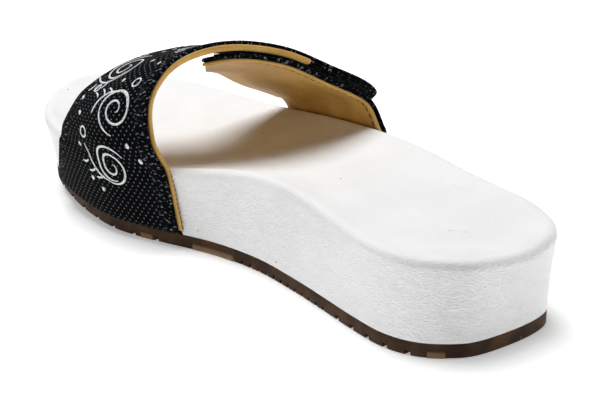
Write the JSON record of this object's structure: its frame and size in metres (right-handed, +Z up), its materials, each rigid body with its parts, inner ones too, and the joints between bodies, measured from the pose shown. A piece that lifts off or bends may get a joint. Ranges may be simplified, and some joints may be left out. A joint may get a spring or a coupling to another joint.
{
  "type": "slide sandal",
  "caption": "Slide sandal for the right foot: contoured platform footbed on a rubber outsole, with a wide instep strap that closes over a second strap.",
  "frame": {"origin": "centre of the bounding box, on the plane that the sole stands on", "axes": "+Y from heel to toe, +X to the outer (lateral) side of the right foot, +Z up"},
  "size_m": [0.107, 0.263, 0.078],
  "materials": {
    "outsole": "satin dark brown moulded rubber, slightly translucent",
    "footbed": "white synthetic skin over foam, fine grain, satin",
    "strap_medial": "black woven fabric with small white dots and white printed scrolls, tan lining",
    "strap_lateral": "black woven fabric with small white dots, tan lining",
    "hook_pad": "black hook tape",
    "loop_pad": "black loop tape"
  },
  "bodies": {
    "root": {"outsole": "outsole", "footbed": "footbed", "strap_medial": "strap_medial", "strap_lateral": "strap_lateral", "hook_pad": "hook_pad", "loop_pad": "loop_pad"}
  },
  "joints": []
}
